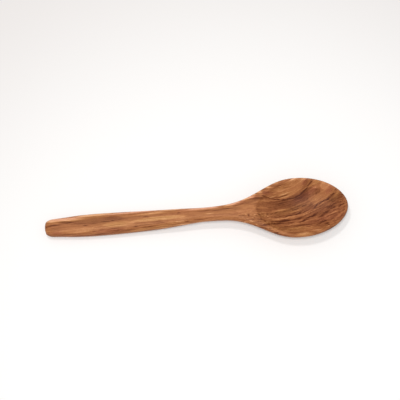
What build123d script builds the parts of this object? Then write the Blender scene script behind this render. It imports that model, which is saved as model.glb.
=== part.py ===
from build123d import *
import math
import os

# A wooden cooking spoon, carved whole from one blank of olive wood. It lies on its back
# with the hollow up: X runs from the handle's end to the bowl's tip, Y across, Z up.
# The origin is on the table, under the middle of the spoon's box. All sizes are in
# millimetres, and a place is a distance along X from the handle's end.

# Lengths
spoon_length = 300.0
bowl_nose = 48.0  # from the bowl's widest place to its tip
flare_length = 96.0  # from the narrow neck to the bowl's widest place
belly_place = 50.0  # where the handle is widest

# Widths
end_width = 16.8
belly_width = 22.4
waist_width = 20.3
neck_width = 14.2
bowl_width = 60.4

# The edge line, along which the sides are widest, above the table
end_edge_height = 7.0
belly_edge_height = 7.6
waist_edge_height = 9.2
neck_edge_height = 17.0
shoulder_edge_height = 20.8
bowl_edge_height = 20.2
tip_edge_height = 18.4

# The crown, which is the height of the face above the edge line
end_crown = 6.0
belly_crown = 7.0
neck_crown = 5.4
shoulder_crown = 2.6
lip_crown = 1.6

# The keel, which is the underside's middle line, above the table
end_keel_height = 1.0
waist_keel_height = 2.4
neck_keel_height = 11.0
keel_flat = 6.0  # the sanded strip along the keel
rest_depth = 0.25  # how much is sanded off under the bowl, so that it stands on a small flat

# Rounding of the long edges beside the face, across the spoon
end_corner = 5.6
belly_corner = 7.0
neck_corner = 5.4
shoulder_corner = 5.0
lip_round = 1.2

# Rounding of the handle's end
end_round_length = 7.5
end_round_width = 5.2
end_round_height = 3.2

# The hollow
lip_width = 2.2
floor_thickness = 8.2
hollow_lift = 16.0  # from the face up to the level at which the hollow's sides would stand upright
hollow_edge_radius = 1.0

overrun = 5.0  # how far a cut reaches past what it cuts

# Figures with no unit
waist_share = 0.485  # of the way from the belly to the neck
shoulder_share = 0.51  # of the way along the flare
drop_share = 0.26  # of the flare, before the underside begins to fall
heel_share = 0.555  # of the flare, before the hollow begins
egg_share = 0.33  # how much narrower than an oval the hollow is towards the neck
round_share = 0.5523  # of the way to a corner, for the handles of a quarter oval
tip_share = 0.999  # of an oval's length, after which the bowl's nose is blunt
least_flat_share = 0.06  # of the width, kept flat on top of the tip
wall_share = 0.8  # of the lip's flat, that the edge rounding may take
flare_lateness = 1.33
nose_fullness = 1.92
end_angles = (90, 65, 42, 20)
handle_shares = (0.12, 0.4, 0.7)
flare_shares = (0.14, 0.28, 0.4, 0.5, 0.6, 0.7, 0.8, 0.9)
nose_angles = (0, 14, 28, 41, 53, 64, 73, 80, 85, 90)
egg_angles = (-89, -84, -72, -60, -45, -30, -15, 0, 15, 30, 45, 60, 72, 84, 89)
section_points = 16  # round each section of the hollow

bowl_place = spoon_length - bowl_nose
neck_place = bowl_place - flare_length
waist_place = belly_place + waist_share * (neck_place - belly_place)
shoulder_place = neck_place + shoulder_share * flare_length
drop_place = neck_place + drop_share * flare_length
heel_place = neck_place + heel_share * flare_length


def through(points, place):
    """The value at a place on a smooth line through (place, value) points, with no overshoot."""
    places, values = zip(*points)
    slopes = [(b[1] - a[1]) / (b[0] - a[0]) for a, b in zip(points, points[1:])]
    inner = [0 if a * b <= 0 else 2 * a * b / (a + b) for a, b in zip(slopes, slopes[1:])]
    tangents = [slopes[0], *inner, slopes[-1]]
    i = max(0, min(len(slopes) - 1, sum(p <= place for p in places) - 1))
    step = places[i + 1] - places[i]
    t = max(0, min(1, (place - places[i]) / step))
    rise = values[i + 1] - values[i]
    bend = t * (1 - t) * step * (tangents[i] * (1 - t) - tangents[i + 1] * t)
    straight_bend = rise * t * (1 - t) * (1 - 2 * t)
    return values[i] + rise * t + bend - straight_bend


def ease(t):
    """From 0 to 1, with no slope or bend at either end."""
    t = max(0, min(1, t))
    return t**3 * (10 - 15 * t + 6 * t * t)


def oval(along, fullness=2):
    """What is left of an oval's half width at a share of its length from the middle."""
    return (1 - min(1, abs(along)) ** fullness) ** (1 / fullness)


def nose(place, length):
    """What is left of the bowl's width past its widest place, on an outline of this nose length."""
    return oval(tip_share * max(0, place - bowl_place) / length, nose_fullness)


def end_loss(place, amount):
    """How far the rounding of the handle's end draws a side in."""
    return amount * (1 - oval(max(0, 1 - place / end_round_length)))


def side_width(place):
    """Half the width, before the handle's end and the bowl's nose are rounded."""
    ends = [(0, end_width), (belly_place, belly_width), (waist_place, waist_width), (neck_place, neck_width)]
    flare = ease(max(0, (place - neck_place) / flare_length) ** flare_lateness)
    return (through(ends, place) + (bowl_width - neck_width) * flare) / 2


def half_width(place):
    return (side_width(place) - end_loss(place, end_round_width)) * nose(place, bowl_nose)


def face_half_width(place):
    """Half the width of the flat top between its two rounded edges."""
    if place > bowl_place:
        inside = (bowl_width / 2 - lip_round) * nose(place, bowl_nose - lip_round)
        return max(inside, least_flat_share * half_width(place))
    corners = [
        (0, end_corner),
        (belly_place, belly_corner),
        (neck_place, neck_corner),
        (shoulder_place, shoulder_corner),
        (bowl_place, lip_round),
    ]
    return half_width(place) * (1 - through(corners, place) / side_width(place))


def keel_half_width(place):
    return keel_flat / 2 * half_width(place) / side_width(place)


def edge_height(place):
    heights = [
        (0, end_edge_height),
        (belly_place, belly_edge_height),
        (waist_place, waist_edge_height),
        (neck_place, neck_edge_height),
        (shoulder_place, shoulder_edge_height),
        (bowl_place, bowl_edge_height),
        (spoon_length, tip_edge_height),
    ]
    return through(heights, place)


def face_height(place):
    crowns = [
        (0, end_crown),
        (belly_place, belly_crown),
        (neck_place, neck_crown),
        (shoulder_place, shoulder_crown),
        (bowl_place, lip_crown),
        (spoon_length, lip_crown),
    ]
    crown = through(crowns, place) - end_loss(place, end_round_height)
    return edge_height(place) + crown * oval(max(0, 1 - (spoon_length - place) / lip_round))


def keel_height(place):
    keels = [
        (0, end_keel_height),
        (belly_place, 0),
        (waist_place, waist_keel_height),
        (neck_place, neck_keel_height),
    ]
    fall = (neck_keel_height + rest_depth) * ease((place - drop_place) / (bowl_place - drop_place))
    rise = (tip_edge_height + rest_depth) * (1 - nose(place, bowl_nose))
    return through(keels, place) + end_loss(place, end_round_height) - fall + rise


def quarter(start, corner, end):
    """A quarter of an oval that bulges towards the corner."""
    return Edge.make_bezier(
        start, start + (corner - start) * round_share, end + (corner - end) * round_share, end
    )


def body_section(place):
    """The closed outline across the spoon: a flat keel, a flat face, and round sides between."""
    keel, side, face = keel_half_width(place), half_width(place), face_half_width(place)
    low, middle, high = keel_height(place), edge_height(place), face_height(place)

    def at(y, z):
        return Vector(place, y, z)

    return Wire(
        [
            Edge.make_line(at(-keel, low), at(keel, low)),
            quarter(at(keel, low), at(side, low), at(side, middle)),
            quarter(at(side, middle), at(side, high), at(face, high)),
            Edge.make_line(at(face, high), at(-face, high)),
            quarter(at(-face, high), at(-side, high), at(-side, middle)),
            quarter(at(-side, middle), at(-side, low), at(-keel, low)),
        ]
    )


def body_places():
    """Where the sections stand, closer together where the shape turns fastest."""
    end = [end_round_length * (1 - math.sin(math.radians(a))) for a in end_angles]
    knots = (end_round_length, belly_place, waist_place, neck_place)
    handle = [a + (b - a) * share for a, b in zip(knots, knots[1:]) for share in (0, *handle_shares)]
    flare = [neck_place + flare_length * share for share in (0, *flare_shares)]
    bowl = [bowl_place + bowl_nose * math.sin(math.radians(a)) for a in nose_angles]
    return end + handle + flare + bowl


def make_body():
    """The spoon before it is hollowed."""
    body = Solid.make_loft([body_section(place) for place in body_places()])
    table = Pos(bowl_place, 0, -overrun / 2) * Box(flare_length, bowl_width, overrun)
    return body - table


def make_hollow():
    """The egg whose lower part is the bowl's hollow."""
    depth = face_height(bowl_place) - floor_thickness + hollow_lift
    cap = oval(hollow_lift / depth)  # how much smaller the egg is at the level of the face
    back = (bowl_place - heel_place) / cap
    front = (bowl_nose - lip_width) / cap
    width = (bowl_width / 2 - lip_width) / cap

    def place_at(share):
        return bowl_place + share * (front if share > 0 else back)

    def level(place):
        return face_height(max(heel_place, min(spoon_length - lip_width, place))) + hollow_lift

    def egg_section(angle):
        share = math.sin(math.radians(angle))
        place = place_at(share)
        plan = oval(share, nose_fullness) if share > 0 else oval(share) * (1 - egg_share * share**2)
        turns = [2 * math.pi * i / section_points for i in range(section_points)]
        y, z = width * plan, depth * oval(share)
        points = [Vector(place, y * math.sin(turn), level(place) + z * math.cos(turn)) for turn in turns]
        return Wire([Edge.make_spline(points, periodic=True)])

    return Solid.make_loft([egg_section(angle) for angle in egg_angles])


def make_spoon():
    hollowed = make_body() - make_hollow()
    rim = next(face.inner_wires()[0] for face in hollowed.faces() if face.inner_wires())
    return fillet(rim.edges(), min(hollow_edge_radius, wall_share * (lip_width - lip_round)))


os.makedirs("parts", exist_ok=True)
spoon = Pos(-spoon_length / 2, 0, 0) * make_spoon()
export_step(spoon, "parts/spoon.step")
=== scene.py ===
import math

import bpy
from mathutils import Matrix, Vector


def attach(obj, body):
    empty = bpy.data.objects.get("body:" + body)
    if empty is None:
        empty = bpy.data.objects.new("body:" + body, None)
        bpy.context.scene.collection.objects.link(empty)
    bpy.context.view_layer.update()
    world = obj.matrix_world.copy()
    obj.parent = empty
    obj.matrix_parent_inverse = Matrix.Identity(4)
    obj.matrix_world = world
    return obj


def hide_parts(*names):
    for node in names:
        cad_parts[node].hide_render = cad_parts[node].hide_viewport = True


# The wooden spoon lies on its back, hollow up. X runs from the handle's end to the bowl's tip,
# Y across, Z up, all in metres. The camera looks down on the face from the long side.

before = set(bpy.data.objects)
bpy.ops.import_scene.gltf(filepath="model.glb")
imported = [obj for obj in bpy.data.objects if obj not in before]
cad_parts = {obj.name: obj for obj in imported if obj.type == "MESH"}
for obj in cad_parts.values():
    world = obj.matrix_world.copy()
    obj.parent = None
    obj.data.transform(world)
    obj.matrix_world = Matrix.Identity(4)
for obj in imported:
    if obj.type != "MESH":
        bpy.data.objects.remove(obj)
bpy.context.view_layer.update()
print("frame loaded:", ", ".join(sorted(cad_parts)))


# Camera

view = {
    "elevation": 73.0,  # degrees above the table
    "roll": 4.03,  # degrees, so that the bowl's end rises
    "lens": 100.0,  # mm
    "sensor": 36.0,  # mm
    "distance": 1.103,
    "farthest": 20.0,  # as far as it sees
    "aim": (0.00525, 0.0169, 0.012),  # what the middle of the picture looks at
}


def makeCamera(v):
    tilt, roll = math.radians(v["elevation"]), math.radians(v["roll"])
    along = Vector((1, 0, 0))
    up = Vector((0, math.sin(tilt), math.cos(tilt)))
    back = Vector((0, -math.cos(tilt), math.sin(tilt)))
    sideways = along * math.cos(roll) - up * math.sin(roll)
    upright = along * math.sin(roll) + up * math.cos(roll)
    bpy.ops.object.camera_add()
    camera = bpy.context.object
    camera.name = "pictureCamera"
    camera.data.lens = v["lens"]
    camera.data.sensor_width = v["sensor"]
    camera.data.clip_end = v["farthest"]
    turned = Matrix((sideways, upright, back)).transposed().to_4x4()
    camera.matrix_world = Matrix.Translation(Vector(v["aim"]) + back * v["distance"]) @ turned
    bpy.context.scene.camera = camera


makeCamera(view)
print("camera placed")


# Shader maths: a wire is a socket's value, and sums on wires add the nodes they need

class Wire:
    def __init__(self, graph, socket):
        self.graph = graph
        self.socket = socket

    def calc(self, operation, *others):
        return self.graph.add("Math", {"operation": operation}, dict(enumerate((self, *others))))

    def __add__(self, other):
        return self.calc("ADD", other)

    def __sub__(self, other):
        return self.calc("SUBTRACT", other)

    def __rsub__(self, other):
        return (self * -1).calc("ADD", other)

    def __mul__(self, other):
        return self.calc("MULTIPLY", other)

    def __truediv__(self, other):
        return self.calc("DIVIDE", other)

    def __pow__(self, other):
        return self.calc("POWER", other)

    def atLeast(self, other):
        return self.calc("MAXIMUM", other)

    def atMost(self, other):
        return self.calc("MINIMUM", other)

    def step(self, low, high, start=0.0, end=1.0):  # a soft step from one value to another
        sockets = {0: self, 1: low, 2: high, 3: start, 4: end}
        return self.graph.add("MapRange", {"interpolation_type": "SMOOTHSTEP"}, sockets)

    def within(self, low, high, soft):  # 1 between two edges, 0 outside
        rise = self.step(low - soft, low + soft)
        return rise * self.step(high - soft, high + soft, 1.0, 0.0)

    __radd__ = __add__
    __rmul__ = __mul__


class Graph:
    def __init__(self, material):
        material.use_nodes = True
        self.tree = material.node_tree
        self.tree.nodes.clear()

    def add(self, kind, settings=None, sockets=None, out=0):
        node = self.tree.nodes.new("ShaderNode" + kind)
        for name, value in (settings or {}).items():
            if name == "stops":
                self.setStops(node.color_ramp, value)
            else:
                setattr(node, name, value)
        for key, value in (sockets or {}).items():
            if isinstance(value, Wire):
                self.tree.links.new(value.socket, node.inputs[key])
            else:
                node.inputs[key].default_value = value
        return Wire(self, node.outputs[out])

    def setStops(self, ramp, stops):
        while len(ramp.elements) < len(stops):
            ramp.elements.new(1.0)
        for element, (place, colour) in zip(ramp.elements, stops):
            element.position = place
            element.color = colour

    def finish(self, kind, surface):
        output = self.tree.nodes.new("ShaderNodeOutput" + kind)
        self.tree.links.new(surface.socket, output.inputs["Surface"])

    def objectPlace(self):
        return self.add("TexCoord", None, None, "Object")

    def vector(self, operation, *values, out=0):
        return self.add("VectorMath", {"operation": operation}, dict(enumerate(values)), out)

    def joined(self, x, y, z):
        return self.add("CombineXYZ", None, {0: x, 1: y, 2: z})

    def split(self, place):
        whole = self.add("SeparateXYZ", None, {0: place})
        return [Wire(self, socket) for socket in whole.socket.node.outputs]

    def blend(self, share, first, second, kind="MIX"):  # sockets 6, 7 and 2 are the colours
        settings = {"data_type": "RGBA", "blend_type": kind}
        return self.add("Mix", settings, {0: share, 6: first, 7: second}, 2)

    def noise(self, place, detail, roughness):
        sockets = {"Vector": place, "Scale": 1.0, "Detail": detail, "Roughness": roughness}
        return self.add("TexNoise", {"noise_dimensions": "3D"}, sockets)


def shade(red, green, blue):  # a colour as an eye sees it, 0 to 255, made linear
    parts = [c / 255 for c in (red, green, blue)]
    return tuple(c / 12.92 if c <= 0.04045 else ((c + 0.055) / 1.055) ** 2.4 for c in parts) + (1.0,)


# Floor, light and surroundings

studio = {
    "floorSize": 8.0,
    "floorWhite": shade(253, 252, 251),
    # The floor's colour carries a painted falloff of light: whitest at one spot, greyer away from it.
    "floorPaintedFalloff": shade(234, 230, 228),
    "paintedLightMiddle": (0.06, -0.13, 0.0),  # where the floor is whitest
    "fade": (0.18, 0.50),
    "floorGlow": 0.25,  # share of its plain colour that the camera sees in the floor
    "glowFade": (0.45, 1.4),  # from here on the floor is more and more its plain colour
    "farFade": (0.9, 3.4),  # and from here on it fades into the surroundings
    "skyWhite": shade(253, 252, 251),
    "skyLight": 0.5,
    "lamps": [  # name, place, size, power
        ("softLamp", (-0.05, -0.28, 1.45), 0.26, 9.0),
        ("edgeLamp", (-0.15, 0.22, 1.3), 0.12, 3.6),
    ],
}


def makeFloor(s):
    bpy.ops.object.select_all(action="DESELECT")
    bpy.ops.mesh.primitive_plane_add(size=s["floorSize"], location=(0, 0, 0))
    floor = bpy.context.object
    floor.name = "paleFloor"
    paint = bpy.data.materials.new("paleFloorPaint")
    graph = Graph(paint)
    # painted falloff of light: the floor whitest near one spot and greyer away from it
    away = graph.vector("DISTANCE", graph.objectPlace(), s["paintedLightMiddle"], out=1)
    colour = graph.blend(away.step(*s["fade"]), s["floorWhite"], s["floorPaintedFalloff"])
    colour = graph.blend(away.step(*s["farFade"]), colour, s["skyWhite"])
    matt = graph.add("BsdfDiffuse", None, {"Color": colour})
    glow = graph.add("Emission", None, {"Color": colour})
    seen = graph.add("LightPath", None, None, "Is Camera Ray")
    share = seen * away.step(*s["glowFade"], s["floorGlow"], 1.0)
    graph.finish("Material", graph.add("MixShader", None, {0: share, 1: matt, 2: glow}))
    floor.data.materials.append(paint)


def makeLamp(name, place, size, power):
    bpy.ops.object.light_add(type="AREA", location=place)
    lamp = bpy.context.object
    lamp.name = name
    lamp.data.shape = "DISK"
    lamp.data.size = size
    lamp.data.energy = power
    lamp.rotation_euler = (-Vector(place)).to_track_quat("-Z", "Y").to_euler()


def makeRoom(s):
    world = bpy.data.worlds.new("whiteRoom")
    bpy.context.scene.world = world
    graph = Graph(world)
    ways = graph.add("LightPath").socket.node.outputs
    seen = [Wire(graph, ways[name]) for name in ("Is Camera Ray", "Is Glossy Ray", "Is Transmission Ray")]
    bright = seen[0].atLeast(seen[1]).atLeast(seen[2])
    strength = bright * (1 - s["skyLight"]) + s["skyLight"]
    graph.finish("World", graph.add("Background", None, {"Color": s["skyWhite"], "Strength": strength}))
    bpy.context.scene.view_settings.view_transform = "Standard"


makeFloor(studio)
for lamp in studio["lamps"]:
    makeLamp(*lamp)
makeRoom(studio)
print("floor and light made")


# The carved wood, one piece from end to end

carving = {
    "joinWithin": 0.00001,
    "cell": 0.00066,  # spacing of the surface's net
    "evening": 4,  # rounds of smoothing
    "waveLength": 0.022,  # the slight waviness that hand sanding leaves
    "waveHeight": 0.00018,
}


def makeSpoon(c):
    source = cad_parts["spoon"]
    piece = bpy.data.objects.new("carvedSpoon", source.data.copy())
    bpy.context.scene.collection.objects.link(piece)
    bpy.ops.object.select_all(action="DESELECT")
    bpy.context.view_layer.objects.active = piece
    piece.select_set(True)
    bpy.ops.object.mode_set(mode="EDIT")
    bpy.ops.mesh.select_all(action="SELECT")
    bpy.ops.mesh.remove_doubles(threshold=c["joinWithin"])
    bpy.ops.object.mode_set(mode="OBJECT")
    net = piece.modifiers.new("net", "REMESH")
    net.mode = "VOXEL"
    net.voxel_size = c["cell"]
    fit = piece.modifiers.new("fit", "SHRINKWRAP")
    fit.target = source
    even = piece.modifiers.new("even", "SMOOTH")
    even.iterations = c["evening"]
    wave = bpy.data.textures.new("sandingWave", "CLOUDS")
    wave.noise_scale = c["waveLength"]
    wave.noise_depth = 0
    sanding = piece.modifiers.new("sanding", "DISPLACE")
    sanding.texture = wave
    sanding.texture_coords = "LOCAL"
    sanding.mid_level = 0.5
    sanding.strength = c["waveHeight"]
    for modifier in [m.name for m in piece.modifiers]:
        bpy.ops.object.modifier_apply(modifier=modifier)
    bpy.ops.object.shade_smooth()
    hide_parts("spoon")
    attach(piece, "root")
    return piece


spoon = makeSpoon(carving)
print("spoon carved:", len(spoon.data.polygons), "faces")


# Olive wood. Its figure is solid, and is given in mm: x counts along the spoon, and a layer
# counts across the growth layers, which run along the handle and curve up through the bowl

growth = {
    "zero": 15.2,
    "tilt": 73.0,  # degrees, of the plane the layers are drawn in
    "handleSlope": 0.03,
    "bowlStart": 74.9,
    "sag": 0.1,
    "sagStart": -14.0,  # counted from the bowl's start
    "curveStart": -2.0,  # counted from there too
    "curve": 0.0088,
    "curveEase": 0.00021,
}


def growthLayers(g, x, y, z):
    tilt = math.radians(g["tilt"])
    down = g["zero"] - (y * math.sin(tilt) + z * math.cos(tilt))
    past = x - g["bowlStart"]
    sag = (past - g["sagStart"]).atLeast(0.0)
    turn = (past - g["curveStart"]).atLeast(0.0) ** 2.0
    drawn = down + past * g["handleSlope"] - sag * g["sag"] + turn * g["curve"]
    return drawn / (turn * g["curveEase"] + 1.0)


# The underside has a figure of its own, because the layers lean there, and it is darkened with painted
# shade

underside = {
    "start": 3.5,  # depth below the face
    "lean": 0.45,
    # painted shade: the wood darker the deeper it lies below the face, on the sides and the underside
    "darker": (0.0, 7.0, 0.0, 0.1),  # from this depth to that, and from this much to that
    "face": (-80.0, 30.0, 14.6, 23.0),  # where its height changes, and from what to what
    "hollowMiddle": 102.0,
    "hollowHalfLength": 46.0,
    "hollowHalfWidth": 28.0,
    "hollowDepth": 13.6,
}


def depthBelowFace(u, x, y, z):
    along = ((x - u["hollowMiddle"]) / u["hollowHalfLength"]) ** 2.0
    across = (y / u["hollowHalfWidth"]) ** 2.0
    cup = (1.0 - along - across).atLeast(0.0) * u["hollowDepth"]
    return (x.step(*u["face"]) - cup - z - u["start"]).atLeast(0.0)


# Noise about zero: its waves per mm along, across and up, where it starts, its detail and its
# roughness

patterns = {
    "slow": (0.014, 0.04, 0.05, 0.0, 2.0, 0.5),
    "quick": (0.07, 0.2, 0.2, 0.0, 3.0, 0.5),
    "jagged": (0.2, 0.5, 0.5, 0.0, 2.0, 0.5),
    "bands": (0.012, 0.2, 0.02, 0.0, 2.0, 0.5),
    "veins": (0.03, 0.48, 0.05, 0.0, 3.0, 0.65),
    "lines": (0.045, 1.25, 0.08, 3.0, 2.0, 0.6),
    "fibres": (0.09, 4.5, 0.4, 0.0, 3.0, 0.65),
    "threads": (0.25, 14.0, 2.0, 0.0, 2.0, 0.6),
    "strands": (0.04, 1.9, 0.1, 11.0, 2.0, 0.6),
    "specks": (0.36, 0.95, 0.6, 0.0, 2.0, 0.5),
    "pores": (0.55, 5.5, 3.0, 0.0, 1.0, 0.5),
    "redness": (0.02, 0.16, 0.05, 7.0, 2.0, 0.5),
}


def findPattern(graph, name, along, across, through):
    alongRate, acrossRate, throughRate, start, detail, roughness = patterns[name]
    place = graph.joined(along * alongRate, across * acrossRate, through * throughRate + start)
    return graph.noise(place, detail, roughness) - 0.5


# The marks of this spoon, given one by one. Each is x, layer, half its length, half its width and
# how much darker it is, or redder for a tint. A mark is soft outside its core, a share of its
# size, and goes down across the layers towards the tip by its lean, in mm per mm along

# Some marks below are painted highlight or painted shade, as noted where they stand.
patches = {
    "core": 0.8,
    "lean": 0.0,
    "marks": [
        # the handle
        (-117, 11.0, 14, 3.0, -0.11),
        (-97, 3.2, 28, 3.2, 0.17),
        (-88, 15.4, 13, 2.0, 0.06),
        (-84, 17.2, 22, 1.6, 0.16),
        (-76, 8.8, 18, 2.6, -0.17),
        (-36, 7.4, 30, 2.2, -0.25),
        # the neck and the shoulder
        (-16, 12.3, 5, 0.9, -0.14),
        (49, 6.8, 10.6, 4.2, -0.1),
        # the bowl, first its pale leaf and the leaf's root
        (97, -8.0, 18, 8.0, -0.1),
        (72, -7.6, 6, 2.8, 0.12),
        (84, 10.5, 11, 3.2, -0.07),
        (75, 26.3, 6, 2.4, -0.2),
        (93, 30.0, 9, 2.6, -0.05),
        (117, 4.3, 4, 3.0, -0.05),
        (122, 0.2, 5, 2.4, -0.16),
        (131.5, 5.0, 7.5, 5.6, -0.22),
    ],
}

strokes = {
    "core": 0.1,
    "lean": 0.0,
    "marks": [
        # painted highlight: pale along the handle's upper edge, where light falls on it
        (-145, -0.6, 6, 1.8, -0.3),
        (-142, 0.4, 7, 1.8, -0.2),
        (-140, -1.8, 7, 1.6, -0.26),
        (-128, -0.6, 22, 2.6, -0.4),
        (-109, -2.4, 16, 1.6, -0.44),
        (-96, -1.5, 28, 1.5, -0.26),
        (-93, -2.2, 12, 1.5, -0.36),
        (-80, -1.8, 10, 1.4, -0.24),
        (-58, -1.0, 36, 1.4, -0.34),
        (-48, -1.0, 17, 1.4, -0.42),
        (-44, 1.8, 24, 1.8, -0.24),
        (-22, 0.2, 24, 1.3, -0.36),
        # the dark lines below it
        (-148.5, 5.6, 2.2, 1.8, 0.26),
        (-146, 5.0, 5, 0.9, 0.24),
        (-140, 4.2, 11, 1.1, 0.36),
        (-131, 1.6, 8, 1.0, 0.3),
        (-129, 3.0, 10, 1.2, 0.24),
        (-125, 2.7, 6, 0.8, 0.26),
        (-117, 4.6, 12, 1.6, 0.12),
        (-83, 2.4, 14, 2.2, 0.1),
        (-72, 4.3, 8, 0.6, 0.24),
        (-49, 4.3, 5, 0.6, 0.3),
        (-17.5, 4.6, 1.0, 0.8, 0.24),
        (-16, 3.7, 1.2, 1.0, 0.4),
        # along the handle's middle
        (-138, 7.4, 12, 1.6, 0.12),
        (-109, 7.1, 4.4, 0.7, 0.36),
        (-101, 6.3, 6, 0.6, 0.24),
        (-89, 5.6, 7, 0.6, 0.28),
        (-81.5, 4.8, 2, 0.7, 0.36),
        (-38, 10.7, 9, 0.7, 0.34),
        (-12, 9.2, 12, 0.7, -0.16),
        # along its lower side
        (-126, 14.4, 14, 0.7, 0.3),
        # painted shade: dark along the handle's lower edge, where it lies near the floor
        (-112, 17.8, 24, 1.4, 0.22),
        (-100, 13.5, 5, 0.6, 0.34),
        (-95, 17.0, 8, 1.2, 0.3),
        (-93, 13.0, 5, 0.7, 0.3),
        (-80, 12.9, 12, 0.7, 0.32),
        (-79, 14.8, 13, 1.0, 0.24),
        (-66, 15.6, 10, 0.8, 0.34),
        (-59.5, 13.0, 4, 0.8, 0.42),
        (-46, 14.4, 10, 0.7, 0.24),
        (-34, 12.0, 9, 0.7, 0.3),
        (-32, 17.8, 14, 1.3, -0.28),
        (-12, 16.2, 14, 1.2, -0.38),
        (-8.5, 13.0, 2.6, 1.1, 0.36),
        # the neck
        (1, 12.0, 9, 1.0, 0.22),
        # painted highlight: pale along the neck's upper edge, here and at x 19 and 29
        (4, 1.9, 26, 2.0, -0.4),
        (6, 15.2, 12, 1.2, -0.22),
        (8, 4.4, 14, 0.6, 0.24),
        (12.5, 7.4, 5.5, 0.8, -0.26),
        (19, 1.8, 9, 1.3, -0.24),
        (20, 5.2, 8, 0.7, 0.28),
        (29, 0.8, 8, 1.3, -0.24),
        (30, 4.4, 12, 0.8, 0.34),
        # the shoulder
        (42, 5.4, 7, 2.2, 0.18),
        (45, 19.2, 4, 1.2, -0.36),
        (46, 12.6, 6, 0.7, 0.24),
        (51, 13.0, 1.8, 0.9, 0.32),
        (52, 0.6, 7, 2.0, 0.16),
        (61, 5.8, 7, 1.8, -0.18),
        (61.3, 7.0, 1.3, 4.0, 0.1),
        (62.4, 5.0, 1.8, 0.9, 0.24),
        (64, 18.0, 3.4, 1.0, 0.3),
        (66, 23.6, 5, 1.8, 0.32),
        (67, 7.0, 6, 2.2, -0.12),
        # along the bowl's upper edge, all but one pale: painted highlight where light falls on the edge
        (47, -3.0, 7, 1.5, -0.42),
        (57, -6.6, 5, 1.4, -0.3),
        (63, -9.0, 5, 1.6, -0.4),
        (72, -13.8, 5, 1.8, -0.4),
        (81, -17.2, 6, 1.4, -0.26),
        (85, -16.0, 6, 1.2, 0.14),
        (101, -13.8, 10, 2.0, -0.36),
        (109, -8.6, 9, 2.4, -0.18),
        # round the dark arc under the leaf
        (80, -2.6, 8, 1.4, 0.18),
        (84, 3.6, 9, 1.0, 0.14),
        (88, -4.6, 9, 0.6, -0.26),
        (89, -2.8, 7, 1.1, 0.36),
        (89, -1.3, 7, 0.6, -0.34),
        (103, 2.2, 5, 0.8, 0.46),
        (104, 4.5, 10, 3.8, 0.08),
        (117, -3.4, 1.4, 0.9, 0.4),
        # the veins across the bowl's middle
        (73.5, 12.8, 3, 0.9, 0.26),
        (79, 11.6, 4, 0.6, 0.4),
        (79, 15.9, 12, 0.7, 0.26),
        (84, 10.2, 15, 0.8, -0.28),
        (86, 18.3, 18, 1.0, -0.32),
        (90, 11.9, 4.6, 0.6, 0.4),
        (92, 16.7, 8, 0.6, 0.28),
        (96, 14.0, 18, 0.9, -0.26),
        (99, 12.7, 5, 0.7, 0.36),
        (101, 16.6, 5, 0.9, 0.34),
        (107, 18.9, 9, 0.7, -0.22),
        (107.5, 12.2, 4.6, 0.6, 0.36),
        (111, 17.0, 5, 0.6, 0.2),
        (116, 12.8, 5, 1.6, 0.16),
        # the veins below them
        (70, 23.3, 3.6, 1.0, 0.34),
        (73, 21.8, 5, 1.0, 0.26),
        (80, 22.7, 10, 1.4, 0.36),
        (85, 20.5, 15, 1.5, 0.42),
        (92, 22.8, 7, 1.2, 0.28),
        (95, 24.9, 13, 0.9, -0.24),
        (101, 21.3, 10, 1.1, 0.38),
        (101, 26.5, 8, 0.6, 0.32),
        (106, 23.6, 9, 0.9, 0.26),
        (111, 22.4, 8, 1.4, 0.2),
        (114, 22.2, 9, 1.1, 0.38),
        # the bowl's lower edge
        (74, 29.0, 5, 1.2, 0.28),
        (77, 30.6, 4, 0.9, 0.34),
        (84, 29.6, 9, 0.8, -0.2),
        (85, 34.6, 5, 1.2, 0.3),
        (91, 31.6, 6, 0.7, 0.28),
        (98, 28.3, 15, 1.2, -0.32),
        (103, 33.8, 12, 1.6, -0.36),
        (112, 29.4, 8, 0.7, -0.16),
        (117, 32.2, 9, 0.9, -0.28),
        (121, 34.0, 7, 1.4, -0.26),
        # towards the tip
        (118.4, 17.5, 2.2, 0.8, 0.36),
        (119.6, 16.2, 2.6, 1.0, 0.4),
        (121.6, 28.7, 2, 0.6, 0.3),
        (122, 19.2, 10, 0.8, -0.22),
        (124, 24.4, 6, 1.0, 0.26),
        (124.5, 27.8, 4.4, 0.8, 0.42),
        (125, 16.1, 3.4, 0.7, 0.36),
        (127, 29.5, 3, 0.6, 0.36),
        (128.5, 23.3, 5, 0.7, 0.36),
        (129, 30.7, 2.4, 0.6, 0.34),
        (130, 27.2, 5, 1.0, -0.24),
        (131, 16.4, 3.2, 0.7, 0.4),
        (133, 19.2, 7, 0.6, -0.18),
        (134, 20.9, 7, 0.7, 0.18),
        (134, 25.2, 10, 0.7, -0.08),
        (136, 15.4, 3, 0.7, 0.34),
        (136.5, 22.6, 4, 0.6, 0.28),
        (139, 14.2, 1.8, 1.0, 0.36),
        (141, 16.8, 6, 1.5, -0.28),
        (143.5, 23.2, 4.4, 0.7, 0.3),
        (147.5, 22.0, 6, 7.0, -0.1),
    ],
}

downStrokes = {
    "core": 0.1,
    "lean": 0.22,
    "marks": [
        # three in the leaf, then the dark arc under it
        (84, -7.4, 7, 0.8, 0.22),
        (92, -9.6, 7, 0.8, 0.2),
        (86, -13.6, 8, 0.7, 0.14),
        (68.4, -4.7, 3.6, 1.0, 0.42),
        (72.5, -2.9, 5, 0.8, 0.42),
        (84, 0.0, 9, 0.7, 0.54),
        (95.5, 1.8, 7, 0.7, 0.46),
        (110, -5.0, 5.4, 2.4, 0.2),
        # in the slab's pale end
        (118, 3.6, 6, 0.5, -0.12),
        (117.5, 6.0, 6, 0.5, -0.1),
        (119, 4.8, 5, 0.5, 0.14),
        # the bowl's lower edge
        (78, 32.2, 7, 1.8, 0.36),
    ],
}

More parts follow.
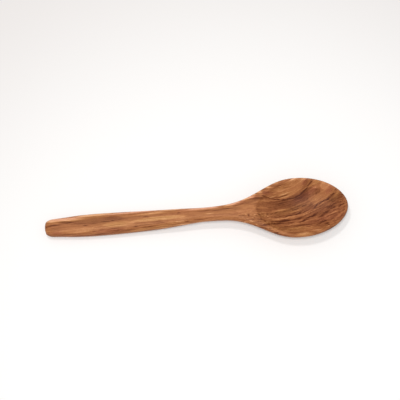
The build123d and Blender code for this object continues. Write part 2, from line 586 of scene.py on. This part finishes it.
upStrokes = {
    "core": 0.1,
    "lean": -0.2,
    "marks": [
        # the flare's upper edge, whose pale marks are painted highlight
        (38, 0.0, 12, 1.6, -0.5),
        (44, 1.7, 12, 0.7, 0.3),
        (54, -4.4, 9, 1.7, -0.5),
        (61, -1.6, 11, 3.2, 0.2),
        (77, -4.0, 5, 0.7, -0.4),
        # the arc's far end
        (109, 0.9, 6, 0.8, 0.54),
        (115, -1.5, 3, 1.1, 0.56),
        # by the tip
        (138, 28.0, 9, 0.8, -0.3),
        (131, 30.8, 8, 0.6, -0.2),
    ],
}

plainPlaces = {  # where the grain is calm, and how much
    "core": 0.7,
    "lean": 0.0,
    "marks": [
        (-117, 11.0, 14, 3.0, 0.8),
        (-76, 9.2, 18, 2.8, 0.6),
        (49, 6.8, 10.6, 4.2, 0.9),
        (97, -8.0, 18, 8.0, 0.9),
    ],
}

tints = {
    "core": 0.2,
    "lean": 0.0,
    "marks": [
        # the handle
        (-148, 5.5, 3, 2, -0.5),
        (-140, 7.5, 10, 2, -0.3),
        (-138, 11.5, 8, 3, 0.5),
        # pink along the upper edge, the colour of the painted highlight there
        (-128, -1.2, 24, 2.4, 0.8),
        (-108, 12.5, 8, 2, -0.3),
        (-84, 2.6, 20, 3, 0.6),
        (-84, 15.0, 24, 3, 0.6),
        (-78, 9.6, 18, 3, -0.5),
        # pink along the upper edge, the colour of the painted highlight there
        (-60, -1.2, 50, 2, 0.8),
        (-36, 7.4, 34, 3, -0.6),
        (-36, 12.0, 16, 2.4, 0.4),
        # the neck and the shoulder, pink along the upper edge: the colour of the painted highlight there
        (4, 1.8, 30, 2, 1.2),
        (40, -1.5, 14, 4, 0.9),
        (57, -4.5, 9, 3, 0.8),
        # the bowl
        (72, -8.5, 7, 4, 0.4),
        (74, 21.0, 12, 4, -0.3),
        (90, 11.5, 22, 4, -0.6),
        (97, 28.5, 18, 3, -0.4),
        (108, 5.0, 20, 5, 0.7),
        (110, -5.0, 6, 4, 0.6),
        (115, 32.0, 10, 2, 0.4),
        (117, 4.0, 5, 3, 0.4),
        (124, 1.0, 6, 3, -0.5),
        (133, 12.0, 6, 3, 0.7),
        (134, 25.5, 18, 7, 0.3),
        (138, 18.0, 8, 2, -0.4),
    ],
}


def addMarks(graph, along, layer, kind):
    lean, total = kind["lean"], 0.0
    flat = graph.joined(along, layer - along * lean, 0.0)
    for x, middleLayer, halfLength, halfWidth, amount in kind["marks"]:
        middle = (-x / halfLength, (x * lean - middleLayer) / halfWidth, 0)
        near = graph.vector("MULTIPLY_ADD", flat, (1 / halfLength, 1 / halfWidth, 0), middle)
        total = graph.vector("LENGTH", near, out=1).step(kind["core"], 1.0, amount, 0.0) + total
    return total


# The bowl's large figure: a dark slab beside the leaf, which ends at an orange patch, over brown.
# Pairs are edges. Fours are where a value changes along x, or across the layers, and its two ends

bowlFigure = {
    "slabTop": (112.0, 125.0, 0.5, 6.8),
    "slabTopEdge": (-0.6, 0.6),
    "slabBottom": 9.2,
    "slabBottomEdge": (-0.5, 0.5, 1.0, 0.0),
    "notch": (112.4, 120.0, 0.8),  # from, to and softness, of a step in its bottom
    "notchDepth": 1.0,
    "slabEnd": (123.8, 125.2, 1.0, 0.0),
    "slabDark": (60.0, 92.0, 0.13, 0.34),
    "slabEndPaler": (111.8, 113.4, 0.0, 0.09),
    "orangeStart": (111.8, 113.4),
    "orangeBottom": (111.0, 119.0, 9.2, 15.4),
    "orangeEdge": (-0.7, 0.7, 1.0, 0.0),
    "brownEdge": (-0.8, 0.8),
    "brownDark": (66.0, 92.0, 0.08, 0.18),
    "brownTipDark": (108.0, 126.0, 0.0, 0.07),
    "rimPale": (27.0, 31.0, 0.0, -0.14),
    "rimEnd": (104.0, 120.0, 1.0, 0.0),
}


def bowlGround(f, x, wandering, ragged):
    bottom = f["slabBottom"] - x.within(*f["notch"]) * f["notchDepth"]
    slab = (ragged - x.step(*f["slabTop"])).step(*f["slabTopEdge"])
    slab = slab * (ragged - bottom).step(*f["slabBottomEdge"]) * wandering.step(*f["slabEnd"])
    dark = slab * (x.step(*f["slabDark"]) - wandering.step(*f["slabEndPaler"]))
    belowOrange = ragged - x.step(*f["orangeBottom"])
    orange = wandering.step(*f["orangeStart"]) * belowOrange.step(*f["orangeEdge"])
    brown = belowOrange.step(*f["brownEdge"]) * (x.step(*f["brownDark"]) + x.step(*f["brownTipDark"]))
    rim = ragged.step(*f["rimPale"]) * x.step(*f["rimEnd"])
    return dark + brown + rim, slab.atLeast(orange)


# How the wood is put together

wander = {
    "stretchEnd": 40.0,  # up to this x the figure is drawn out along the handle
    "stretch": 0.5,  # share of its usual pace there
    "bowlEdge": (56.0, 62.0),
    "bowlEdgeQuick": 10.0,  # mm for a whole swing of the noise, as all below
    "slow": 3.2,
    "quick": 1.6,
    "jagged": 0.6,
    "jaggedInBowl": 0.9,
    "markQuick": 1.2,
    "markFibres": 0.9,
    "patchJagged": 3.0,
    "patchFibres": 2.0,
    "strokeStrands": 8.0,
    "strokeFibres": 5.0,
}

tone = {  # shares of the way from the lightest to the darkest wood
    "middle": 0.46,
    "strokes": 1.2,
    "bands": 0.5,
    "veins": 0.8,
    "wide": 0.62,
    "wideInBowl": 0.08,
    "wideCalm": 0.85,
    "lines": 0.75,
    "linesInBowl": 0.15,
    "fibres": 1.5,
    "fibresInBowl": -0.5,
    "fineCalm": 0.4,
    "threads": 0.34,
    "pits": 0.16,
    "pitEdge": (0.16, 0.28),
    "darkSpecks": (0.05, 0.18),
    "paleSpecks": (-0.08, -0.2),
    "specks": 0.06,
    "shoulderSpecks": 0.32,
    "shoulder": (42.0, 76.0, 8.0),
    "shoulderTop": (9.0, 13.0),
    "stops": [
        (0.0, shade(232, 175, 130)),
        (0.14, shade(208, 147, 98)),
        (0.28, shade(186, 124, 78)),
        (0.45, shade(166, 105, 63)),
        (0.68, shade(138, 82, 48)),
        (0.86, shade(108, 57, 26)),
        (1.0, shade(80, 35, 13)),
    ],
}

oiledFinish = {
    "rednessNoise": 2.0,
    "pink": (0.0, 0.7, 0.0, 0.8),
    "pinkFilter": (0.98, 0.9, 1.08, 1.0),
    "olive": (0.0, -0.6, 0.0, 0.6),
    "oliveFilter": (0.9, 0.98, 0.82, 1.0),
    "roughness": 0.54,
    "roughFibres": 0.2,
    "roughTone": -0.06,
    "shine": 0.14,
    "fibreHeight": 0.5,
    "threadHeight": 0.35,
    "pitDepth": 0.8,
    "reliefStrength": 0.35,
    "relief": 0.00012,
}


def makeOliveWood(w, t, f):
    wood = bpy.data.materials.new("oiledOliveWood")
    graph = Graph(wood)
    millimetres = graph.add("VectorMath", {"operation": "SCALE"}, {0: graph.objectPlace(), "Scale": 1000.0})
    x, y, z = graph.split(millimetres)
    below = depthBelowFace(underside, x, y, z)
    drawn = growthLayers(growth, x, y, z) + below * underside["lean"]

    # the layers wander, with longer waves on the handle
    run = x.atLeast(w["stretchEnd"]) + (x.atMost(w["stretchEnd"]) - w["stretchEnd"]) * w["stretch"]
    slow, quick, jagged = [findPattern(graph, name, run, y, z) for name in ("slow", "quick", "jagged")]
    inBowl = (x + quick * w["bowlEdgeQuick"]).step(*w["bowlEdge"])
    shaken = jagged * (inBowl * w["jaggedInBowl"] + w["jagged"])
    layer = drawn + slow * w["slow"] + quick * w["quick"] + shaken

    # the grain follows them
    names = ("bands", "veins", "lines", "fibres", "threads")
    bands, veins, lines, fibres, threads = [findPattern(graph, name, run, layer, z) for name in names]
    names = ("strands", "specks", "pores", "redness")
    strands, specks, pores, redness = [findPattern(graph, name, x, layer, z) for name in names]

    # the marks wander across them, and fray into strands at their ends
    ragged = drawn + quick * w["markQuick"] + shaken + fibres * w["markFibres"]
    wandering = x + jagged * w["patchJagged"] + fibres * w["patchFibres"]
    frayed = x + strands * w["strokeStrands"] + fibres * w["strokeFibres"]
    drawnStrokes = [addMarks(graph, frayed, ragged, kind) for kind in (strokes, downStrokes, upStrokes)]
    marks = addMarks(graph, wandering, ragged, patches) + sum(drawnStrokes) * t["strokes"]
    ground, even = bowlGround(bowlFigure, x, wandering, ragged)
    calm = even.atLeast(addMarks(graph, wandering, ragged, plainPlaces)).atMost(1.0)

    # dark and pale flecks, most at the shoulder, and pores
    shoulder = x.within(*t["shoulder"]) * ragged.step(*t["shoulderTop"])
    flecks = specks.step(*t["darkSpecks"]) - specks.step(*t["paleSpecks"])
    flecks = flecks * (shoulder * t["shoulderSpecks"] + t["specks"])
    pits = pores.step(*t["pitEdge"])

    wide = (bands * t["bands"] + veins * t["veins"]) * (inBowl * t["wideInBowl"] + t["wide"])
    fine = lines * (inBowl * t["linesInBowl"] + t["lines"])
    fine = fine + fibres * (inBowl * t["fibresInBowl"] + t["fibres"])
    dark = marks + ground * inBowl + t["middle"]
    dark = dark + wide * (1.0 - calm * t["wideCalm"]) + fine * (1.0 - calm * t["fineCalm"])
    # the last term is painted shade, darker below the face
    dark = dark + flecks + threads * t["threads"] + pits * t["pits"] + below.step(*underside["darker"])
    colour = graph.add("ValToRGB", {"stops": t["stops"]}, {0: dark.atLeast(0.0).atMost(1.0)})

    # some places lean to pink or to olive; the pink along the upper edges colours the painted highlight
    # there
    hue = redness * f["rednessNoise"] + addMarks(graph, x, ragged, tints)
    colour = graph.blend(hue.step(*f["pink"]), colour, f["pinkFilter"], "MULTIPLY")
    colour = graph.blend(hue.step(*f["olive"]), colour, f["oliveFilter"], "MULTIPLY")

    height = fibres * f["fibreHeight"] + threads * f["threadHeight"] - pits * f["pitDepth"]
    relief = {"Strength": f["reliefStrength"], "Distance": f["relief"], "Height": height}
    sockets = {
        "Base Color": colour,
        "Roughness": fibres * f["roughFibres"] + dark * f["roughTone"] + f["roughness"],
        "Specular IOR Level": f["shine"],
        "Normal": graph.add("Bump", None, relief),
    }
    graph.finish("Material", graph.add("BsdfPrincipled", None, sockets))
    return wood


spoon.data.materials.clear()
spoon.data.materials.append(makeOliveWood(wander, tone, oiledFinish))
print("olive wood laid on")
